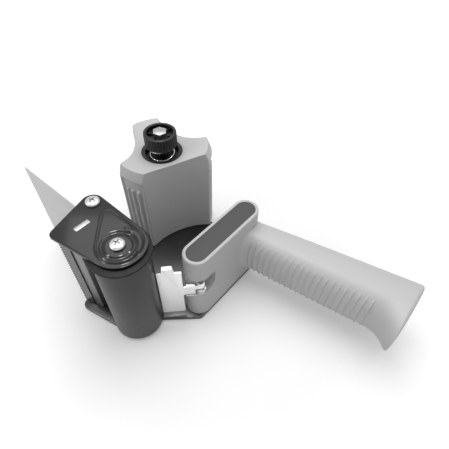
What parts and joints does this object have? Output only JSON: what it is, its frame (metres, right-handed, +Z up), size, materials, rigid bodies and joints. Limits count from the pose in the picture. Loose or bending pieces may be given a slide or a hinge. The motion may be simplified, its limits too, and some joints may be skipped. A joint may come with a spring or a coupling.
{
  "type": "tape dispenser",
  "caption": "Hand-held pistol grip dispenser for wide carton sealing tape, with a three-lobed brake hub, rubber roller, toothed blade, wiper and spring-loaded tape stop.",
  "frame": {"origin": "hub axis at the underside of the frame plate, on the surface the part lies on", "axes": "+X towards the front, where the tape leaves over the roller, along the long side of the handle's head; +Y towards the grip; +Z up from the frame plate along the hub axis"},
  "size_m": [0.1456, 0.2524, 0.0923],
  "materials": {
    "black_paint": "satin",
    "bright_steel": "satin",
    "mill_aluminium": "satin",
    "grey_plastic": "satin",
    "panel_plastic": "satin",
    "black_plastic": "satin",
    "pale_plastic": "satin",
    "black_rubber": "satin"
  },
  "bodies": {
    "chassis": {"frame_plate": "black_paint", "front_bracket": "black_paint", "spacer_post": "bright_steel", "front_channel": "mill_aluminium", "blade": "bright_steel", "blade_rivets": "bright_steel", "wiper": "pale_plastic", "wiper_clamp": "black_paint", "wiper_rivets": "bright_steel", "roller_axle": "bright_steel", "axle_washers": "bright_steel", "bracket_screws": "bright_steel", "frame_screws": "bright_steel", "hub_spindle": "bright_steel", "pressure_washer": "bright_steel", "brake_spring": "bright_steel", "handle": "grey_plastic", "handle_panel": "panel_plastic", "handle_screws": "bright_steel", "hinge_bracket": "bright_steel", "hinge_pin": "bright_steel", "hinge_screw": "bright_steel", "stop_spring": "bright_steel"},
    "roller": {"roller_sleeve": "black_rubber", "roller_tube": "black_plastic", "roller_lower_bush": "black_plastic", "roller_upper_bush": "black_plastic"},
    "hub": {"hub": "grey_plastic", "brake_cup": "black_plastic", "friction_disc": "black_rubber"},
    "seat": {"spring_seat": "bright_steel"},
    "knob": {"brake_knob": "black_plastic", "brake_bolt": "bright_steel"},
    "stop": {"tape_stop": "bright_steel"}
  },
  "joints": [
    {"name": "roller_spin", "type": "hinge", "parent": "chassis", "child": "roller", "pos_m": [0.0856, 0.0554, 0], "axis": [0, 0, 1], "continuous": true},
    {"name": "hub_spin", "type": "hinge", "parent": "chassis", "child": "hub", "pos_m": [0, 0, 0], "axis": [0, 0, 1], "continuous": true},
    {"name": "knob_travel", "type": "slide", "parent": "chassis", "child": "seat", "axis": [0, 0, 1], "range_m": [-0.0024, 0], "deforming": ["brake_spring"]},
    {"name": "knob_turn", "type": "hinge", "parent": "seat", "child": "knob", "pos_m": [0, 0, 0], "axis": [0, 0, 1], "range_deg": [-1082, 2]},
    {"name": "stop_swing", "type": "hinge", "parent": "chassis", "child": "stop", "pos_m": [0.0525, 0.086, 0], "axis": [0, 0, 1], "range_deg": [0, 45], "stiffness_Nm_per_rad": 0.02, "springref_deg": -20.05}
  ],
  "couplings": [
    {"joint": "knob_turn", "follows": "knob_travel", "rad_per_m": 7854}
  ]
}
